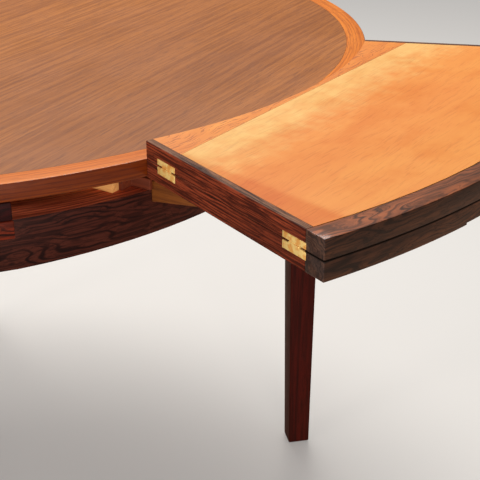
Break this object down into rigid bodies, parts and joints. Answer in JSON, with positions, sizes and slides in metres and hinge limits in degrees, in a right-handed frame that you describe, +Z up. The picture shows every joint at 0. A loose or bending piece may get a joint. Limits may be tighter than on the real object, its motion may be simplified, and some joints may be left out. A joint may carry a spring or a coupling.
{
  "type": "round extending dining table",
  "caption": "Round dining table on square tapered legs, with folding double leaves that draw out from under the loose top on sloping bearers.",
  "frame": {"origin": "on the floor under the middle of the bounding box; the round top's axis is 0.14 m towards +Y from it", "axes": "+Z up; the drawn leaf points to -Y"},
  "size_m": [1.2, 1.48, 0.7642],
  "materials": {
    "top_veneer": "satin rosewood veneer",
    "top_lipping": "satin solid edge",
    "leaf_panel": "satin pale panel",
    "leaf_lipping": "satin dark rosewood",
    "corner_block": "satin dark rosewood",
    "apron": "satin dark veneer",
    "leg": "satin",
    "bridge": "plain board",
    "bearer": "plain hardwood",
    "guide_block": "plain hardwood",
    "guide_board": "plain pale hardwood",
    "peg": "plain hardwood",
    "brass": "worn brass"
  },
  "bodies": {
    "frame": {"apron": "apron", "bridge": "bridge", "leg_1": "leg", "corner_upper_1": "corner_block", "corner_lower_1": "corner_block", "leg_2": "leg", "corner_upper_2": "corner_block", "corner_lower_2": "corner_block", "leg_3": "leg", "corner_upper_3": "corner_block", "corner_lower_3": "corner_block", "leg_4": "leg", "corner_upper_4": "corner_block", "corner_lower_4": "corner_block", "bearer_guide_a": "guide_block", "guide_board_a": "guide_board", "bearer_guide_b": "guide_block", "guide_board_b": "guide_board", "bearer_guide_c": "guide_block", "guide_board_c": "guide_board", "bearer_guide_d": "guide_block", "guide_board_d": "guide_board"},
    "top": {"top_panel": "top_veneer", "top_lipping": "top_lipping", "peg_left": "peg", "peg_right": "peg"},
    "leaf_a": {"leaf_a_lower_panel": "leaf_panel", "leaf_a_lower_lipping": "leaf_lipping", "leaf_a_bearer_left": "bearer", "leaf_a_bearer_right": "bearer", "leaf_a_hinge_lower_1": "brass", "leaf_a_hinge_lower_2": "brass"},
    "leaf_a_flap": {"leaf_a_upper_panel": "leaf_panel", "leaf_a_upper_lipping": "leaf_lipping", "leaf_a_hinge_upper_1": "brass", "leaf_a_hinge_upper_2": "brass"},
    "leaf_b": {"leaf_b_lower_panel": "leaf_panel", "leaf_b_lower_lipping": "leaf_lipping", "leaf_b_upper_panel": "leaf_panel", "leaf_b_upper_lipping": "leaf_lipping", "leaf_b_bearer_left": "bearer", "leaf_b_bearer_right": "bearer", "leaf_b_hinge_1": "brass", "leaf_b_hinge_2": "brass"},
    "leaf_c": {"leaf_c_lower_panel": "leaf_panel", "leaf_c_lower_lipping": "leaf_lipping", "leaf_c_upper_panel": "leaf_panel", "leaf_c_upper_lipping": "leaf_lipping", "leaf_c_bearer_left": "bearer", "leaf_c_bearer_right": "bearer", "leaf_c_hinge_1": "brass", "leaf_c_hinge_2": "brass"},
    "leaf_d": {"leaf_d_lower_panel": "leaf_panel", "leaf_d_lower_lipping": "leaf_lipping", "leaf_d_upper_panel": "leaf_panel", "leaf_d_upper_lipping": "leaf_lipping", "leaf_d_bearer_left": "bearer", "leaf_d_bearer_right": "bearer", "leaf_d_hinge_1": "brass", "leaf_d_hinge_2": "brass"}
  },
  "joints": [
    {"name": "leaf_a_draw", "type": "slide", "parent": "frame", "child": "leaf_a", "axis": [0, -0.9928, 0.1199], "range_m": [0, 0.008]},
    {"name": "leaf_a_flap_turn", "type": "hinge", "parent": "leaf_a", "child": "leaf_a_flap", "pos_m": [-0.24407, -0.44925, 0.74515], "axis": [-0.3827, -0.9239, 0], "range_deg": [0, 180]},
    {"name": "leaf_c_draw", "type": "slide", "parent": "frame", "child": "leaf_c", "axis": [0, 0.9928, 0.1199], "range_m": [0, 0.3187]},
    {"name": "leaf_b_draw", "type": "slide", "parent": "frame", "child": "leaf_b", "axis": [0.9928, 0, 0.1199], "range_m": [0, 0.3187]},
    {"name": "leaf_d_draw", "type": "slide", "parent": "frame", "child": "leaf_d", "axis": [-0.9928, 0, 0.1199], "range_m": [0, 0.3187]},
    {"name": "top_lift", "type": "slide", "parent": "frame", "child": "top", "axis": [0, 0, 1], "range_m": [0, 0.0386]}
  ],
  "couplings": [
    {"joint": "leaf_b_draw", "follows": "leaf_c_draw", "ratio": 1},
    {"joint": "leaf_d_draw", "follows": "leaf_c_draw", "ratio": 1},
    {"joint": "top_lift", "follows": "leaf_c_draw", "ratio": 0.11985}
  ]
}
